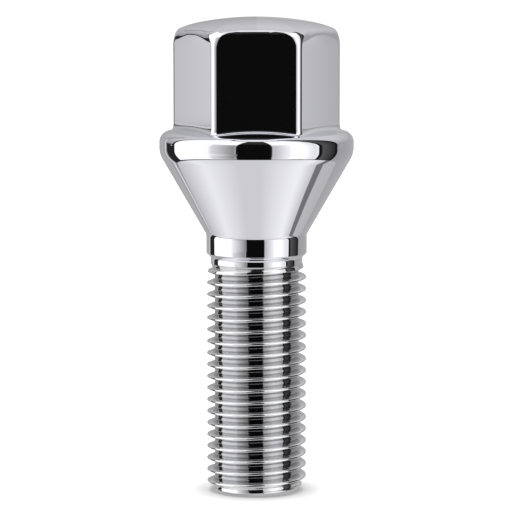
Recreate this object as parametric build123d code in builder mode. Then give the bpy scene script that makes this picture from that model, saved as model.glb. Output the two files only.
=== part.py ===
import os
from math import asin, cos, radians, sin, tan

from build123d import *

os.makedirs("parts", exist_ok=True)

# Wheel bolt with a cone seat: forged in one piece, thread rolled, then chrome plated.
# The origin is the middle of the tip's end face, and +Z runs up the axis to the domed head.
# One flat of the hexagon faces -Y, so two of its corners lie on X.

# Threaded shank, M14 x 1.5. The solid is the cylinder over the thread's crests.
thread_diameter = 14.0
thread_length = 32.2
thread_end_angle = 20.0
tip_face_diameter = 11.2
tip_chamfer_angle = 45.0

# Band of the rolling blank left bare above the thread, at about its pitch diameter
blank_diameter = 12.94
blank_length = 0.55

# Neck that centres the bolt in the wheel's hole, led in by a short taper
neck_diameter = 14.14
neck_length = 2.63
neck_lead_angle = 30.0

# Cone seat, and the collar that closes it off with both rims rounded
seat_included_angle = 60.0
collar_diameter = 27.24
collar_height = 2.82
collar_lower_radius = 3.3
collar_upper_radius = 1.5
collar_top_slope = 14.5

# Hexagon for a 21 mm spanner
hex_across_flats = 20.45
hex_corner_radius = 1.1

# Domed crown. Its round shoulder runs out on each flat as an arc, highest at mid-flat.
overall_height = 66.85
dome_radius = 44.0
shoulder_diameter = 23.4
shoulder_radius = 2.2
crown_edge_radius = 0.8

thread_r = thread_diameter / 2
tip_r = tip_face_diameter / 2
blank_r = blank_diameter / 2
neck_r = neck_diameter / 2
collar_r = collar_diameter / 2
shoulder_r = shoulder_diameter / 2

# Heights above the tip's end face
tip_top = (thread_r - tip_r) / tan(radians(tip_chamfer_angle))
thread_end = thread_length - (thread_r - blank_r) / tan(radians(thread_end_angle))
blank_top = thread_length + blank_length
neck_bottom = blank_top + (neck_r - blank_r) / tan(radians(neck_lead_angle))
neck_top = neck_bottom + neck_length
seat_top = neck_top + (collar_r - neck_r) / tan(radians(seat_included_angle / 2))
collar_top = seat_top + collar_height
collar_peak = collar_top + collar_r * tan(radians(collar_top_slope))

# The dome and the shoulder's arc touch where their shared normal leans out by dome_tilt
dome_centre = overall_height - dome_radius
dome_tilt = asin((shoulder_r - shoulder_radius) / (dome_radius - shoulder_radius))
dome_edge = (dome_radius * sin(dome_tilt), dome_centre + dome_radius * cos(dome_tilt))
shoulder_z = dome_centre + (dome_radius - shoulder_radius) * cos(dome_tilt)

with BuildPart() as wheel_bolt:
    # Hexagon with rounded corners
    with BuildSketch(Plane.XY.offset(collar_top)) as hexagon:
        RegularPolygon(hex_across_flats / 2, 6, major_radius=False)
        fillet(hexagon.vertices(), hex_corner_radius)
    extrude(amount=overall_height - collar_top)

    # Crown, turned on the hexagon
    with BuildSketch(Plane.XZ):
        with BuildLine():
            dome = RadiusArc((0, overall_height), dome_edge, dome_radius)
            shoulder = RadiusArc(dome @ 1, (shoulder_r, shoulder_z), shoulder_radius)
            Polyline(shoulder @ 1, (shoulder_r, collar_top), (0, collar_top), dome @ 0)
        make_face()
    revolve(axis=Axis.Z, mode=Mode.INTERSECT)
    fillet(wheel_bolt.edges().filter_by(GeomType.BSPLINE), crown_edge_radius)

    # Collar, cone seat, neck and shank, turned as one profile that rises into the hexagon
    with BuildSketch(Plane.XZ) as turned:
        with BuildLine():
            Polyline(
                (0, 0),
                (tip_r, 0),
                (thread_r, tip_top),
                (thread_r, thread_end),
                (blank_r, thread_length),
                (blank_r, blank_top),
                (neck_r, neck_bottom),
                (neck_r, neck_top),
                (collar_r, seat_top),
                (collar_r, collar_top),
                (0, collar_peak),
                close=True,
            )
        make_face()
        fillet(turned.vertices().group_by(Axis.X)[-1].sort_by(Axis.Y)[0], collar_lower_radius)
        fillet(turned.vertices().group_by(Axis.X)[-1].sort_by(Axis.Y)[-1], collar_upper_radius)
    revolve(axis=Axis.Z)

wheel_bolt.part.label = "wheel_bolt"
export_step(wheel_bolt.part, "parts/wheel_bolt.step")
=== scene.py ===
import math

import bmesh
import bpy
import numpy as np
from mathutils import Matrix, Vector


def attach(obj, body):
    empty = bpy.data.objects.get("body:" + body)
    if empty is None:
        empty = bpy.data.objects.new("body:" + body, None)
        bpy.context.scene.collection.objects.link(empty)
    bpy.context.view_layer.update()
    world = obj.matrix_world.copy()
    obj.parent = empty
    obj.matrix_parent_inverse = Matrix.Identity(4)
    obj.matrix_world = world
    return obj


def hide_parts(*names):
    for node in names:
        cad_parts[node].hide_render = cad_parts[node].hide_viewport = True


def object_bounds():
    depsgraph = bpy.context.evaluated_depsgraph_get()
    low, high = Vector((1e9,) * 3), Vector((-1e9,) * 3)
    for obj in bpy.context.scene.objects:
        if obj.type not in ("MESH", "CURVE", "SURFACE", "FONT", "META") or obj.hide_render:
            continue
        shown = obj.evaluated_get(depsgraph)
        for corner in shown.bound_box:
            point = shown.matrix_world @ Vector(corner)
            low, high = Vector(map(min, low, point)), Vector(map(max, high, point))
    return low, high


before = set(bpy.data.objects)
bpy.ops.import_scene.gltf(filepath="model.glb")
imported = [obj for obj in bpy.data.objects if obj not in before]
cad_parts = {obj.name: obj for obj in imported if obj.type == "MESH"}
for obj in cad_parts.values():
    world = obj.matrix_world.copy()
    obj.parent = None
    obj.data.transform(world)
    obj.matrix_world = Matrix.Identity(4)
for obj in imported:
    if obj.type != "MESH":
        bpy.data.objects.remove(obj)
cad_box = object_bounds()

MM = 0.001

# Sizes in millimetres. Heights are from the tip's end face, and diameters are halved.
# The collar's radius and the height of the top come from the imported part.
COLLAR_R = cad_box[1][0] / MM
TOP = cad_box[1][2] / MM

# Rolled thread, right hand, with its crests and roots rounded. FLANK_ANGLE is from a flank to
# the plane across the axis, and RIDGE_SHARE is the ridge's part of a turn at half its depth.
CREST_R = 7.0
ROOT_R = 5.9
TURN_SPACING = 1.662
THREAD_PHASE = 0.284
FLANK_ANGLE = 22.0
RIDGE_SHARE = 0.42
CREST_ROUNDING = 0.14
ROOT_ROUNDING = 0.45

# Tip: the edge of its end face, and the 45 degree chamfer that starts at TIP_R
TIP_R = 5.6
TIP_EDGE = 0.12
TIP_ROUNDING = 0.06
# rings of the rounded edge: how far outside TIP_R, and how high
TIP_RINGS = ((0.02, 0.05), (-0.06, 0.012), (-0.2, 0.0), (-TIP_R / 2, 0.0))

# Bare blank over the thread. From THREAD_END down, crests and roots leave its radius by these
# shares of the height.
BLANK_R = 6.47
THREAD_END = 32.35
CREST_RUN_OUT = 0.34
ROOT_RUN_OUT = 0.47
JOIN_Z = 32.4

# Taper, neck and cone seat. SEAT_ANGLE is from the cone's side to the axis.
TAPER_END = 33.22
TAPER_FILLET = 0.5
NECK_BOTTOM = 33.79
NECK_EDGE = 0.1
NECK_TOP = 36.42
NECK_R = 7.07
SEAT_FILLET = 1.24
SEAT_ANGLE = 30.0

# Collar. A ledge slopes up from LEDGE_END, at its upper rounding, to the hexagon.
COLLAR_BOTTOM = NECK_TOP + (COLLAR_R - NECK_R) / math.tan(math.radians(SEAT_ANGLE))
COLLAR_HEIGHT = 2.82
COLLAR_TOP = COLLAR_BOTTOM + COLLAR_HEIGHT
COLLAR_LOWER_RADIUS = 3.3
COLLAR_UPPER_RADIUS = 1.5
COLLAR_GUARD = 0.04
LEDGE_ANGLE = 14.5
LEDGE_SLOPE = math.tan(math.radians(LEDGE_ANGLE))
LEDGE_END = 12.495

# Hexagon, and the heights of two rings on its sides
APOTHEM = 10.225
CORNER_R = 1.1
HALF_SIDE = math.radians(30)
SIDE_RINGS = (62.6, 57.0)

# Crown: a dome that drops RIM_DROP more by RIM_AT from the axis, and an edge whose corners
# are rounded by CROWN_CORNER more at the dome than at the sides. CROWN_END is how far below
# the top that edge ends, at the middle of a flat and at a corner.
DOME_R = 44.0
RIM_AT = 10.0
RIM_DROP = 0.155
RIM_POWER = 8
CROWN_SQUARE = 0.075
CROWN_RUN = 0.8
CROWN_CORNER = 6.2
CROWN_WIDENING = 1.6
CROWN_END = (2.3, 3.85)

# Rounding at the foot of the hexagon, at the middle of a flat and at a corner
FOOT_OUT = (0.6, 0.45)
FOOT_UP = (0.6, 1.1)
FOOT_GUARD = 0.25
FOOT_TURN = math.radians(74)

# How finely the bolt is divided. CORNER_COLUMNS are degrees either side of a corner.
COLUMNS = 168
CORNER_COLUMNS = (0.45, 0.9, 1.4, 2.35, 2.75, 3.2)
ROWS_PER_TURN = 20
TURNS = math.ceil(JOIN_Z / TURN_SPACING) + 1
DOME_RINGS = 18
INNERMOST_RING = 0.06
CROWN_EDGE_RINGS = 21
FOOT_RINGS = 13
LEDGE_RINGS = (0.06, 0.5, 0.94)
THREAD_WELD = 0.004
BOLT_WELD = 0.003

# Painted shade in the thread: radii over which its base colour goes from the darker root colour,
# which stands in for the shade down in the grooves, to its crest colour, and the height below
# which all is bright
PAINTED_SHADE_BELOW = 5.8
BRIGHT_ABOVE = 6.9
BRIGHT_TIP = 1.2

HEAD_COLOUR = (0.86, 0.86, 0.915)
CREST_COLOUR = (0.88, 0.88, 0.9)
# the root colour is painted shade for the grooves of the thread
ROOT_SHADE_COLOUR = (0.5, 0.5, 0.52)


def metres(*values):
    return [v * MM for v in values]


# Nodes


def new_group(name, inputs, outputs):
    """Shader node group. An input without a value is a vector, and all else is a number."""
    group = bpy.data.node_groups.new(name, "ShaderNodeTree")
    for label, value in inputs:
        kind = "NodeSocketVector" if value is None else "NodeSocketFloat"
        socket = group.interface.new_socket(label, in_out="INPUT", socket_type=kind)
        if value is not None:
            socket.default_value = value
    for label in outputs:
        group.interface.new_socket(label, in_out="OUTPUT", socket_type="NodeSocketFloat")
    return group, group.nodes.new("NodeGroupInput"), group.nodes.new("NodeGroupOutput")


def fill(tree, socket, value):
    """Set a socket to a number, or link it to another node's socket."""
    if isinstance(value, (int, float)):
        socket.default_value = value
    else:
        tree.links.new(value, socket)


def math_node(tree, operation, *values):
    node = tree.nodes.new("ShaderNodeMath")
    node.operation = operation
    for socket, value in zip(node.inputs, values):
        fill(tree, socket, value)
    return node.outputs[0]


def smooth_range(tree, value, low, high, to_low=0.0, to_high=1.0):
    node = tree.nodes.new("ShaderNodeMapRange")
    node.interpolation_type = "SMOOTHSTEP"
    fill(tree, node.inputs["Value"], value)
    fill(tree, node.inputs["From Min"], low)
    fill(tree, node.inputs["From Max"], high)
    fill(tree, node.inputs["To Min"], to_low)
    fill(tree, node.inputs["To Max"], to_high)
    return node.outputs["Result"]


# Finishes


def plating_group():
    """Fine unevenness of plated steel: a slow wave in the plate over the grain of the forging."""
    group, given, out = new_group(
        "plated_surface",
        [
            ("Vector", None),
            ("Wave Size", 300.0),
            ("Wave Share", 0.5),
            ("Grain Size", 6000.0),
            ("Roughness", 0.04),
            ("Roughness Spread", 0.02),
        ],
        ["Roughness", "Height"],
    )
    size = given.outputs

    def m(operation, *values):
        return math_node(group, operation, *values)

    def noise(scale, detail):
        node = group.nodes.new("ShaderNodeTexNoise")
        node.inputs["Detail"].default_value = detail
        group.links.new(size["Vector"], node.inputs["Vector"])
        group.links.new(scale, node.inputs["Scale"])
        return node.outputs["Fac"]

    wave = noise(size["Wave Size"], 1.0)
    grain = noise(size["Grain Size"], 3.0)
    spread = m("MULTIPLY", m("SUBTRACT", grain, 0.5), size["Roughness Spread"])
    rough = m("ADD", size["Roughness"], spread)
    slow = m("MULTIPLY", wave, size["Wave Share"])
    fine = m("MULTIPLY", grain, m("SUBTRACT", 1.0, size["Wave Share"]))
    group.links.new(rough, out.inputs["Roughness"])
    group.links.new(m("ADD", slow, fine), out.inputs["Height"])
    return group


def groove_shade_mask():
    """Mask for the painted shade: 1 at the crests of the thread and at the tip, 0 down in the
    roots.
    """
    group, given, out = new_group(
        "thread_depth",
        [
            ("Vector", None),
            ("Root", PAINTED_SHADE_BELOW * MM),
            ("Crest", BRIGHT_ABOVE * MM),
            ("Bottom", BRIGHT_TIP * MM),
        ],
        ["Crest"],
    )
    size = given.outputs

    def m(operation, *values):
        return math_node(group, operation, *values)

    parts = group.nodes.new("ShaderNodeSeparateXYZ")
    group.links.new(size["Vector"], parts.inputs[0])
    x, y, z = parts.outputs
    radius = m("SQRT", m("ADD", m("MULTIPLY", x, x), m("MULTIPLY", y, y)))
    depth = smooth_range(group, radius, size["Root"], size["Crest"])
    tip = m("LESS_THAN", z, size["Bottom"])
    group.links.new(m("MAXIMUM", depth, tip), out.inputs["Crest"])
    return group


def chrome(name, surface, colour, roughness, spread, wave, grain, share, bump, strength):
    material = bpy.data.materials.new(name)
    material.use_nodes = True
    tree = material.node_tree
    shader = tree.nodes["Principled BSDF"]
    shader.inputs["Base Color"].default_value = (*colour, 1.0)
    shader.inputs["Metallic"].default_value = 1.0
    place = tree.nodes.new("ShaderNodeTexCoord")
    plate = tree.nodes.new("ShaderNodeGroup")
    plate.node_tree = surface
    tree.links.new(place.outputs["Object"], plate.inputs["Vector"])
    plate.inputs["Wave Size"].default_value = wave
    plate.inputs["Wave Share"].default_value = share
    plate.inputs["Grain Size"].default_value = grain
    plate.inputs["Roughness"].default_value = roughness
    plate.inputs["Roughness Spread"].default_value = spread
    tree.links.new(plate.outputs["Roughness"], shader.inputs["Roughness"])
    relief = tree.nodes.new("ShaderNodeBump")
    relief.inputs["Strength"].default_value = strength
    relief.inputs["Distance"].default_value = bump * MM
    tree.links.new(plate.outputs["Height"], relief.inputs["Height"])
    tree.links.new(relief.outputs["Normal"], shader.inputs["Normal"])
    return material


def paint_groove_shade(material):
    """Painted shade: the base colour is darker and greyer down in the grooves of the thread, where
    they lie in shade.
    """
    tree = material.node_tree
    place = tree.nodes.new("ShaderNodeTexCoord")
    depth = tree.nodes.new("ShaderNodeGroup")
    depth.node_tree = groove_shade_mask()
    tree.links.new(place.outputs["Object"], depth.inputs["Vector"])
    mix = tree.nodes.new("ShaderNodeMix")
    mix.data_type = "RGBA"
    colours = [s for s in mix.inputs if s.type == "RGBA"]
    # darker colour down in the roots: painted shade of the grooves
    colours[0].default_value = (*ROOT_SHADE_COLOUR, 1.0)
    colours[1].default_value = (*CREST_COLOUR, 1.0)
    mixed = next(s for s in mix.outputs if s.type == "RGBA")
    tree.links.new(depth.outputs["Crest"], mix.inputs["Factor"])
    tree.links.new(mixed, tree.nodes["Principled BSDF"].inputs["Base Color"])


def head_finish(surface):
    return chrome(
        "polished_chrome",
        surface,
        HEAD_COLOUR,
        roughness=0.03,
        spread=0.02,
        wave=180.0,
        grain=5200.0,
        share=0.9,
        bump=0.004,
        strength=0.3,
    )


def thread_finish(surface):
    material = chrome(
        "rolled_thread_chrome",
        surface,
        CREST_COLOUR,
        roughness=0.07,
        spread=0.05,
        wave=500.0,
        grain=9000.0,
        share=0.6,
        bump=0.006,
        strength=0.4,
    )
    paint_groove_shade(material)
    return material


# Thread, by geometry nodes


def thread_tree():
    """Shank with a rolled thread: a sheet whose rows follow the helix, cut level at both ends."""
    tree = bpy.data.node_groups.new("rolled_thread", "GeometryNodeTree")
    face = tree.interface
    for label, kind, value in (
        ("Columns", "NodeSocketInt", COLUMNS),
        ("Rows Per Turn", "NodeSocketInt", ROWS_PER_TURN),
        ("Turns", "NodeSocketInt", TURNS),
        ("Turn Spacing", "NodeSocketFloat", TURN_SPACING * MM),
        ("Phase", "NodeSocketFloat", THREAD_PHASE),
        ("Crest Radius", "NodeSocketFloat", CREST_R * MM),
        ("Root Radius", "NodeSocketFloat", ROOT_R * MM),
        ("Blank Radius", "NodeSocketFloat", BLANK_R * MM),
        ("Tip Radius", "NodeSocketFloat", TIP_R * MM),
        ("Bottom", "NodeSocketFloat", TIP_EDGE * MM),
        ("Thread End", "NodeSocketFloat", THREAD_END * MM),
        ("Top", "NodeSocketFloat", JOIN_Z * MM),
        ("Crest Rounding", "NodeSocketFloat", CREST_ROUNDING * MM),
        ("Root Rounding", "NodeSocketFloat", ROOT_ROUNDING * MM),
        ("Tip Rounding", "NodeSocketFloat", TIP_ROUNDING * MM),
    ):
        face.new_socket(label, in_out="INPUT", socket_type=kind).default_value = value
    face.new_socket("Material", in_out="INPUT", socket_type="NodeSocketMaterial")
    face.new_socket("Geometry", in_out="OUTPUT", socket_type="NodeSocketGeometry")
    size = tree.nodes.new("NodeGroupInput").outputs
    out = tree.nodes.new("NodeGroupOutput")
    link = tree.links.new

    def m(operation, *values):
        return math_node(tree, operation, *values)

    grid = tree.nodes.new("GeometryNodeMeshGrid")
    grid.inputs["Size X"].default_value = 1.0
    grid.inputs["Size Y"].default_value = 1.0
    rows = m("MULTIPLY", size["Rows Per Turn"], size["Turns"])
    link(m("ADD", size["Columns"], 1.0), grid.inputs["Vertices X"])
    link(m("ADD", rows, 1.0), grid.inputs["Vertices Y"])
    where = tree.nodes.new("ShaderNodeSeparateXYZ")
    position = tree.nodes.new("GeometryNodeInputPosition")
    link(position.outputs[0], where.inputs[0])
    around = m("ADD", where.outputs[0], 0.5)
    along = m("MULTIPLY", m("ADD", where.outputs[1], 0.5), size["Turns"])

    # Height of each point, held between the level ends
    turns_up = m("SUBTRACT", m("ADD", along, around), 1.0)
    height = m("ADD", m("MULTIPLY", turns_up, size["Turn Spacing"]), size["Bottom"])
    height = m("MINIMUM", m("MAXIMUM", height, size["Bottom"]), size["Top"])

    # Thread form: straight flanks between a rounded crest and a rounded root
    turn = m("SUBTRACT", m("DIVIDE", height, size["Turn Spacing"]), around)
    share = m("FRACT", m("SUBTRACT", turn, size["Phase"]))
    ridge = m("ABSOLUTE", m("SUBTRACT", m("MULTIPLY", share, 2.0), 1.0))
    middle = m("MULTIPLY", m("ADD", size["Crest Radius"], size["Root Radius"]), 0.5)
    rise = m("MULTIPLY", size["Turn Spacing"], 0.5 / math.tan(math.radians(FLANK_ANGLE)))
    flank = m("ADD", middle, m("MULTIPLY", m("SUBTRACT", ridge, 1.0 - RIDGE_SHARE), rise))
    radius = m("SMOOTH_MIN", flank, size["Crest Radius"], size["Crest Rounding"])
    radius = m("SMOOTH_MAX", radius, size["Root Radius"], size["Root Rounding"])

    # Chamfer at the tip, and the last turn running out into the blank
    chamfer = m("ADD", size["Tip Radius"], height)
    radius = m("SMOOTH_MIN", radius, chamfer, size["Tip Rounding"])
    left = m("MAXIMUM", m("SUBTRACT", size["Thread End"], height), 0.0)
    highest = m("ADD", size["Blank Radius"], m("MULTIPLY", left, CREST_RUN_OUT))
    lowest = m("SUBTRACT", size["Blank Radius"], m("MULTIPLY", left, ROOT_RUN_OUT))
    radius = m("MAXIMUM", m("MINIMUM", radius, highest), lowest)

    angle = m("MULTIPLY", around, math.tau)
    place = tree.nodes.new("ShaderNodeCombineXYZ")
    link(m("MULTIPLY", radius, m("COSINE", angle)), place.inputs[0])
    link(m("MULTIPLY", radius, m("SINE", angle)), place.inputs[1])
    link(height, place.inputs[2])
    shape = tree.nodes.new("GeometryNodeSetPosition")
    link(grid.outputs["Mesh"], shape.inputs["Geometry"])
    link(place.outputs[0], shape.inputs["Position"])
    weld = tree.nodes.new("GeometryNodeMergeByDistance")
    weld.inputs["Distance"].default_value = THREAD_WELD * MM
    link(shape.outputs[0], weld.inputs["Geometry"])
    real = tree.nodes.new("GeometryNodeRealizeInstances")
    link(weld.outputs[0], real.inputs[0])
    paint = tree.nodes.new("GeometryNodeSetMaterial")
    link(real.outputs[0], paint.inputs["Geometry"])
    link(size["Material"], paint.inputs["Material"])
    link(paint.outputs[0], out.inputs[0])
    return tree


def socket_id(tree, label):
    return next(i.identifier for i in tree.interface.items_tree if i.name == label)


def thread_mesh(material):
    tree = thread_tree()
    carrier = bpy.data.objects.new("thread_blank", bpy.data.meshes.new("thread_blank"))
    bpy.context.scene.collection.objects.link(carrier)
    modifier = carrier.modifiers.new("rolled_thread", "NODES")
    modifier.node_group = tree
    modifier[socket_id(tree, "Material")] = material
    bpy.context.view_layer.update()
    evaluated = carrier.evaluated_get(bpy.context.evaluated_depsgraph_get())
    mesh = bpy.data.meshes.new_from_object(evaluated)
    carrier.modifiers.remove(modifier)
    bpy.data.objects.remove(carrier)
    return mesh


# Head, collar, seat and neck


def head_angles():
    """Even columns, with more of them where the hexagon's corners are rounded."""
    even = [360.0 * k / COLUMNS for k in range(COLUMNS)]
    extra = []
    for corner in range(6):
        for off in CORNER_COLUMNS:
            extra += [60.0 * corner + off, 60.0 * corner - off]
    return np.radians(sorted(even + [a % 360.0 for a in extra]))


def hexagon_radius(angles, corner):
    """Distance from the axis to the hexagon with rounded corners, along each angle."""
    off = np.radians(np.abs((np.degrees(angles) % 60.0) - 30.0))
    flat = APOTHEM / np.cos(off)
    reach = (APOTHEM - corner) / math.cos(HALF_SIDE)
    turn = HALF_SIDE - off
    inside = np.maximum(corner**2 - (reach * np.sin(turn)) ** 2, 0.0)
    arc = reach * np.cos(turn) + np.sqrt(inside)
    on_flat = np.tan(off) * APOTHEM <= (APOTHEM - corner) * math.tan(HALF_SIDE)
    return np.where(on_flat, flat, arc)


def cornering(side):
    """0 at the middle of a flat, 1 at a corner of the hexagon."""
    apex = hexagon_radius(np.array([0.0]), CORNER_R)[0]
    return (side - APOTHEM) / (apex - APOTHEM)


def crown_rows(angles):
    """Dome that steepens outwards, turned over into the flats along an arc on each of them."""
    corner = cornering(hexagon_radius(angles, CORNER_R))
    squaring = CROWN_SQUARE * (1 - corner)

    def drop(r):
        r = r * (1 + squaring * (r / RIM_AT) ** 2)
        return r**2 / (2 * DOME_R) + RIM_DROP * (r / RIM_AT) ** RIM_POWER

    def reach(t):
        """Distance from the axis along the turned-over edge: the dome at 0, the side at 1."""
        widened = CORNER_R + CROWN_CORNER * (1 - t) ** CROWN_WIDENING
        return hexagon_radius(angles, widened) - CROWN_RUN * (1 - corner) * (1 - t) ** 2

    rim = reach(0.0)
    rim_drop = drop(rim)
    step = 0.001
    slope = (drop(rim + step) - rim_drop) / step
    for share in np.linspace(INNERMOST_RING, 1.0, DOME_RINGS)[:-1]:
        r = rim * share
        yield r, TOP - drop(r)
    start = slope * (reach(step) - rim) / step
    end_drop = CROWN_END[0] + (CROWN_END[1] - CROWN_END[0]) * corner
    for t in np.linspace(0.0, 1.0, CROWN_EDGE_RINGS):
        yield reach(t), TOP - rim_drop - start * t - (end_drop - rim_drop - start) * t**2


def foot_rows(angles):
    """Side of the hexagon and the rounding at its foot, wider up the corners than on the flats."""
    side = hexagon_radius(angles, CORNER_R)
    corner = cornering(side) ** 2
    out = FOOT_OUT[0] + (FOOT_OUT[1] - FOOT_OUT[0]) * corner
    up = FOOT_UP[0] + (FOOT_UP[1] - FOOT_UP[0]) * corner
    ledge_peak = COLLAR_TOP + COLLAR_R * LEDGE_SLOPE
    foot_r = side + out * (1 - math.cos(FOOT_TURN))
    start = ledge_peak - LEDGE_SLOPE * foot_r + up * math.sin(FOOT_TURN)
    for height in SIDE_RINGS:
        yield side, np.full(len(angles), height)
    yield side, start + FOOT_GUARD
    for a in np.linspace(0.0, FOOT_TURN, FOOT_RINGS):
        yield side + out * (1 - math.cos(a)), start - up * math.sin(a)
    for share in LEDGE_RINGS:
        r = foot_r + (LEDGE_END - foot_r) * share
        yield r, ledge_peak - LEDGE_SLOPE * r


def arc_points(centre, radius, first, last, count):
    for k in range(count + 1):
        a = math.radians(first + (last - first) * k / count)
        yield centre[0] + radius * math.cos(a), centre[1] + radius * math.sin(a)


def fillet(before, corner, after, radius, count):
    """Points of the arc that rounds a corner of a turned profile."""
    corner = Vector(corner)
    back = (Vector(before) - corner).normalized()
    on = (Vector(after) - corner).normalized()
    half = back.angle(on) / 2
    centre = corner + (back + on).normalized() * (radius / math.sin(half))
    first = corner + back * (radius / math.tan(half)) - centre
    last = corner + on * (radius / math.tan(half)) - centre
    turned = math.pi - 2 * half
    for k in range(count + 1):
        share = k / count
        point = first * math.sin((1 - share) * turned) + last * math.sin(share * turned)
        yield tuple(centre + point / math.sin(turned))


def turned_rows():
    """Collar, seat, neck and blank, from the ledge under the hexagon down to the thread."""
    # the upper rounding touches the ledge's line and the collar's wall, the lower one the cone
    ledge_at = COLLAR_TOP + COLLAR_UPPER_RADIUS * LEDGE_SLOPE
    upper_z = ledge_at - COLLAR_UPPER_RADIUS / math.cos(math.radians(LEDGE_ANGLE))
    lower_z = COLLAR_BOTTOM + COLLAR_LOWER_RADIUS * math.tan(math.radians(SEAT_ANGLE / 2))
    upper = (COLLAR_R - COLLAR_UPPER_RADIUS, upper_z)
    lower = (COLLAR_R - COLLAR_LOWER_RADIUS, lower_z)
    rows = list(arc_points(upper, COLLAR_UPPER_RADIUS, 90 - LEDGE_ANGLE, 0, count=12))
    # two rings close to the roundings keep the wall between them upright in its reflections
    rows += [(COLLAR_R, upper_z - COLLAR_GUARD), (COLLAR_R, lower_z + COLLAR_GUARD)]
    rows += arc_points(lower, COLLAR_LOWER_RADIUS, 0, -SEAT_ANGLE, count=10)
    rows.append(((rows[-1][0] + NECK_R) / 2, (rows[-1][1] + NECK_TOP) / 2))
    neck_top = (NECK_R, NECK_TOP)
    neck_bottom = (NECK_R, NECK_BOTTOM)
    taper_end = (BLANK_R, TAPER_END)
    blank_end = (BLANK_R, JOIN_Z)
    rows += fillet(rows[-1], neck_top, neck_bottom, SEAT_FILLET, count=8)
    rows += fillet(neck_top, neck_bottom, taper_end, NECK_EDGE, count=3)
    rows += fillet(neck_bottom, taper_end, blank_end, TAPER_FILLET, count=6)
    rows.append(blank_end)
    return rows


def head_mesh(bm, slot):
    angles = head_angles()
    count = len(angles)
    rows = list(crown_rows(angles)) + list(foot_rows(angles))
    rows += [(np.full(count, r), np.full(count, z)) for r, z in turned_rows()]
    rings = []
    for radius, height in rows:
        around = zip(radius * np.cos(angles), radius * np.sin(angles), height)
        rings.append([bm.verts.new(metres(*point)) for point in around])
    faces = []
    apex = bm.verts.new(metres(0, 0, TOP))
    for k in range(count):
        faces.append(bm.faces.new((apex, rings[0][k], rings[0][(k + 1) % count])))
    for upper, lower in zip(rings[:-2], rings[1:-1]):
        for k in range(count):
            n = (k + 1) % count
            faces.append(bm.faces.new((upper[k], lower[k], lower[n], upper[n])))
    # the last ring has only the even columns, as the thread has
    columns = np.degrees(angles) * COLUMNS / 360
    even = [k for k, column in enumerate(columns) if abs(column - round(column)) < 1e-6]
    upper, lower = rings[-2:]
    for k, n in zip(even, even[1:] + [even[0] + count]):
        span = [upper[j % count] for j in range(k, n + 1)]
        faces.append(bm.faces.new([*reversed(span), lower[k], lower[n % count]]))
    for k in set(range(count)) - set(even):
        bm.verts.remove(lower[k])
    for face in faces:
        face.material_index = slot


def close_tip(bm, slot):
    """Rounded edge and flat end face under the thread's lowest ring."""
    close = 0.002 * MM
    edge = [v for v in bm.verts if abs(v.co.z - TIP_EDGE * MM) < close]
    ring = sorted(edge, key=lambda v: math.atan2(v.co.y, v.co.x))
    count = len(ring)
    for out, z in TIP_RINGS:
        r = TIP_R + out
        lower = []
        for v in ring:
            a = math.atan2(v.co.y, v.co.x)
            lower.append(bm.verts.new(metres(r * math.cos(a), r * math.sin(a), z)))
        for k in range(count):
            n = (k + 1) % count
            bm.faces.new((ring[k], lower[k], lower[n], ring[n])).material_index = slot
        ring = lower
    middle = bm.verts.new((0, 0, 0))
    for k in range(count):
        bm.faces.new((ring[k], middle, ring[(k + 1) % count])).material_index = slot


def build_bolt():
    surface = plating_group()
    head_chrome = head_finish(surface)
    thread_chrome = thread_finish(surface)
    head_slot, thread_slot = 0, 1
    bm = bmesh.new()
    bm.from_mesh(thread_mesh(thread_chrome))
    for face in bm.faces:
        face.material_index = thread_slot
    head_mesh(bm, head_slot)
    close_tip(bm, thread_slot)
    bmesh.ops.remove_doubles(bm, verts=bm.verts, dist=BOLT_WELD * MM)
    bmesh.ops.recalc_face_normals(bm, faces=bm.faces)
    for face in bm.faces:
        face.smooth = True
    mesh = bpy.data.meshes.new("plated_bolt")
    bm.to_mesh(mesh)
    open_edges = sum(1 for e in bm.edges if not e.is_manifold)
    print("bolt mesh:", len(mesh.polygons), "faces, open edges", open_edges)
    bm.free()
    mesh.materials.append(head_chrome)
    mesh.materials.append(thread_chrome)
    bolt = bpy.data.objects.new("plated_bolt", mesh)
    bpy.context.scene.collection.objects.link(bolt)
    return bolt


bolt = build_bolt()
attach(bolt, "root")
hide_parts("wheel_bolt")


# Studio

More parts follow.
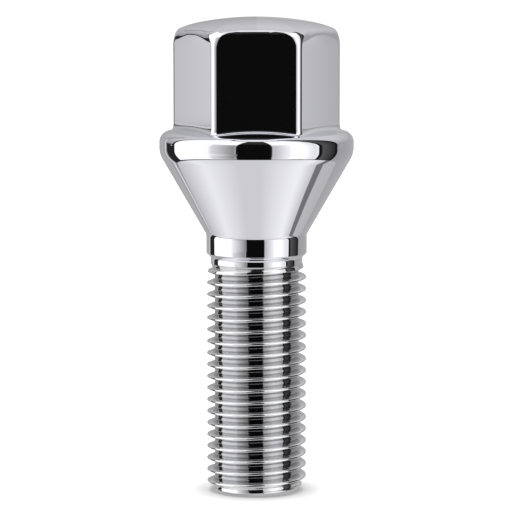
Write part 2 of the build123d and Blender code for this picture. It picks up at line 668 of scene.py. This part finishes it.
# Panels of the light tent as the chrome mirrors them: left and right edge and bottom and top
# in degrees round the bolt (0 is towards the camera), softness, and level at either edge.
TENT = [
    # back wall, dim at the horizon and brighter above
    (-200, 200, 10, 100, 7.0, 0.47, 0.51),
    (-200, 200, 26, 100, 14.0, 0.62, 0.66),
    (-181, -150, -30, 9, 1.5, 0.42, 0.45),
    (-151, -136.5, -30, 40, 1.0, 0.5, 0.34),
    (-139.5, -136.5, -30, 16, 0.6, 0.8, 0.8),
    (111, 181, -30, 9, 1.0, 0.37, 0.5),
    # dark surround of the softboxes, the lit top of the tent, and a dark strip on either side
    (-118, 111, -30, 77, 0.6, 0.006, 0.006),
    (-200, 200, 77, 100, 0.8, 0.95, 0.95),
    (-133, -117, -30, 3, 0.8, 0.02, 0.02),
    (84, 107, -30, 62, 2.0, 0.1, 0.02),
    # left softbox and its shaded inner half
    (-113.5, -24.2, -27.2, 74, 0.8, 1.2, 1.2),
    (-58.3, -24.2, -27.2, 33, 4.0, 0.85, 0.22),
    # right softbox, dimmer at either side
    (18, 78.5, -27.2, 74, 0.8, 1.2, 1.2),
    (18, 42, -27.2, 33, 4.0, 0.5, 1.1),
    (60, 77, -27.2, 50, 3.0, 1.15, 0.8),
    # dark card in front, dimly lit near its top, and a low gap on its left
    (-24.2, 18, -30, 73, 0.8, 0.03, 0.03),
    (-24.2, 18, -30, 44, 3.0, 0.004, 0.004),
    (-60, -22.8, -12, -5.4, 0.3, 1.08, 0.22),
    # what the side flats of the hexagon mirror, a narrow band just under the horizon
    (119, 122.8, -4.3, -1.5, 0.3, 0.86, 0.3),
    (-122.8, -119, -4.15, -1.5, 0.06, 0.47, 0.86),
    # floor
    (-200, 200, -91, -30.2, 0.6, 0.694, 0.694),
    (-134, -91, -80, -30.2, 0.6, 0.56, 0.95),
    (-91, -35, -80, -30.2, 0.6, 0.95, 0.7),
    (8, 79, -80, -30.2, 0.6, 0.69, 1.0),
    (79, 101, -80, -30.2, 0.6, 1.0, 0.64),
    (101, 111.6, -80, -30.2, 0.7, 0.19, 0.19),
    (111.6, 200, -91, -30.2, 0.7, 0.55, 0.38),
    (-200, -134, -91, -30.2, 2.0, 0.45, 0.38),
    (-200, 200, -95, -76, 3.0, 0.5, 0.5),
]
TENT_BEHIND = 0.36
PLAIN_LIGHT = 0.8

FLOOR_HALF = 3.0
FLOOR_Z = -0.01 * MM
FLOOR_COLOUR = (0.75, 0.75, 0.75)
# The floor glows white to the camera, and only faintly close to the bolt: a painted shadow round
# the bolt, over its real shadow there
SHADOW_INNER = 6.0 * MM
SHADOW_OUTER = 13.0 * MM
GLOW_INNER = 0.03
GLOW_OUTER = 0.44

LAMP_HEIGHT = 0.9
LAMP_WIDTH = 0.9
LAMP_POWER = 7.0

LENS = 207.19
CAMERA_AT = Vector((0.0, -0.4117, 0.0812))
CAMERA_AIM = Vector((-0.00008, 0.0, 0.03327))


def panel_group():
    """One panel of the light tent, laid over what is behind it."""
    sides = ("Left", "Right", "Bottom", "Top", "Soft", "Level Left", "Level Right")
    labels = ("Behind", "Azimuth", "Elevation", *sides)
    group, given, out = new_group("tent_panel", [(label, 0.0) for label in labels], ["Light"])
    g = given.outputs

    def m(operation, *values):
        return math_node(group, operation, *values)

    def edge(value, at):
        return smooth_range(group, value, m("SUBTRACT", at, g["Soft"]), m("ADD", at, g["Soft"]))

    def between(value, low, high):
        return m("MULTIPLY", edge(value, low), m("SUBTRACT", 1.0, edge(value, high)))

    mask = m(
        "MULTIPLY",
        between(g["Azimuth"], g["Left"], g["Right"]),
        between(g["Elevation"], g["Bottom"], g["Top"]),
    )
    across = group.nodes.new("ShaderNodeMapRange")
    group.links.new(g["Azimuth"], across.inputs["Value"])
    group.links.new(g["Left"], across.inputs["From Min"])
    group.links.new(g["Right"], across.inputs["From Max"])
    group.links.new(g["Level Left"], across.inputs["To Min"])
    group.links.new(g["Level Right"], across.inputs["To Max"])
    change = m("MULTIPLY", mask, m("SUBTRACT", across.outputs["Result"], g["Behind"]))
    group.links.new(m("ADD", g["Behind"], change), out.inputs["Light"])
    return group


def tent_light(tree):
    """Light of the tent along each ray, panel over panel."""
    place = tree.nodes.new("ShaderNodeTexCoord")
    parts = tree.nodes.new("ShaderNodeSeparateXYZ")
    tree.links.new(place.outputs["Generated"], parts.inputs[0])
    x, y, z = parts.outputs
    in_degrees = 180.0 / math.pi
    ahead = math_node(tree, "MULTIPLY", y, -1.0)
    azimuth = math_node(tree, "MULTIPLY", math_node(tree, "ARCTAN2", x, ahead), in_degrees)
    elevation = math_node(tree, "MULTIPLY", math_node(tree, "ARCSINE", z), in_degrees)
    panel = panel_group()
    level = TENT_BEHIND
    for values in TENT:
        node = tree.nodes.new("ShaderNodeGroup")
        node.node_tree = panel
        for socket, value in zip(node.inputs, (level, azimuth, elevation, *values)):
            fill(tree, socket, value)
        level = node.outputs["Light"]
    return level


def background(tree, strength):
    node = tree.nodes.new("ShaderNodeBackground")
    node.inputs["Color"].default_value = (1.0, 1.0, 1.0, 1.0)
    fill(tree, node.inputs["Strength"], strength)
    return node.outputs[0]


def choose(tree, factor, otherwise, chosen):
    mix = tree.nodes.new("ShaderNodeMixShader")
    for socket, given in zip(mix.inputs, (factor, otherwise, chosen)):
        tree.links.new(given, socket)
    return mix.outputs[0]


def make_world():
    """The chrome mirrors the tent, the camera sees white, and all else has plain light."""
    world = bpy.data.worlds.new("studio")
    bpy.context.scene.world = world
    world.use_nodes = True
    tree = world.node_tree
    tree.nodes.clear()
    path = tree.nodes.new("ShaderNodeLightPath").outputs
    plain = background(tree, PLAIN_LIGHT)
    tent = background(tree, tent_light(tree))
    mirrored = choose(tree, path["Is Glossy Ray"], plain, tent)
    seen = choose(tree, path["Is Camera Ray"], mirrored, background(tree, 1.0))
    out = tree.nodes.new("ShaderNodeOutputWorld")
    tree.links.new(seen, out.inputs[0])


def floor_finish():
    material = bpy.data.materials.new("pale_floor")
    material.use_nodes = True
    tree = material.node_tree
    tree.nodes.clear()
    link = tree.links.new
    matt = tree.nodes.new("ShaderNodeBsdfDiffuse")
    matt.inputs["Color"].default_value = (*FLOOR_COLOUR, 1.0)
    place = tree.nodes.new("ShaderNodeTexCoord")
    distance = tree.nodes.new("ShaderNodeVectorMath")
    distance.operation = "LENGTH"
    link(place.outputs["Object"], distance.inputs[0])
    from_axis = distance.outputs["Value"]
    # the glow dimmed round the bolt is a painted shadow
    painted_shadow_glow = smooth_range(tree, from_axis, SHADOW_INNER, SHADOW_OUTER, GLOW_INNER, GLOW_OUTER)
    path = tree.nodes.new("ShaderNodeLightPath")
    glow = tree.nodes.new("ShaderNodeEmission")
    link(math_node(tree, "MULTIPLY", path.outputs["Is Camera Ray"], painted_shadow_glow), glow.inputs["Strength"])
    add = tree.nodes.new("ShaderNodeAddShader")
    link(matt.outputs[0], add.inputs[0])
    link(glow.outputs[0], add.inputs[1])
    out = tree.nodes.new("ShaderNodeOutputMaterial")
    link(add.outputs[0], out.inputs[0])
    return material


def make_floor():
    mesh = bpy.data.meshes.new("floor")
    ends = ((-1, -1), (1, -1), (1, 1), (-1, 1))
    corners = [(FLOOR_HALF * x, FLOOR_HALF * y, FLOOR_Z) for x, y in ends]
    mesh.from_pydata(corners, [], [(0, 1, 2, 3)])
    mesh.materials.append(floor_finish())
    floor = bpy.data.objects.new("floor", mesh)
    bpy.context.scene.collection.objects.link(floor)
    floor.visible_glossy = False


def make_lamp():
    """Round softbox straight above, which lights the floor and casts the bolt's shadow."""
    light = bpy.data.lights.new("softbox_above", "AREA")
    light.shape = "DISK"
    light.size = LAMP_WIDTH
    light.energy = LAMP_POWER
    lamp = bpy.data.objects.new("softbox_above", light)
    lamp.location = (0.0, 0.0, LAMP_HEIGHT)
    lamp.visible_glossy = False
    bpy.context.scene.collection.objects.link(lamp)


def make_camera():
    data = bpy.data.cameras.new("camera")
    data.lens = LENS
    data.sensor_width = 36.0
    data.clip_start = 0.01
    data.clip_end = 10.0
    camera = bpy.data.objects.new("camera", data)
    camera.location = CAMERA_AT
    camera.rotation_euler = (CAMERA_AIM - CAMERA_AT).to_track_quat("-Z", "Y").to_euler()
    bpy.context.scene.collection.objects.link(camera)
    bpy.context.scene.camera = camera


make_world()
make_floor()
make_lamp()
make_camera()
bpy.context.scene.view_settings.view_transform = "Standard"
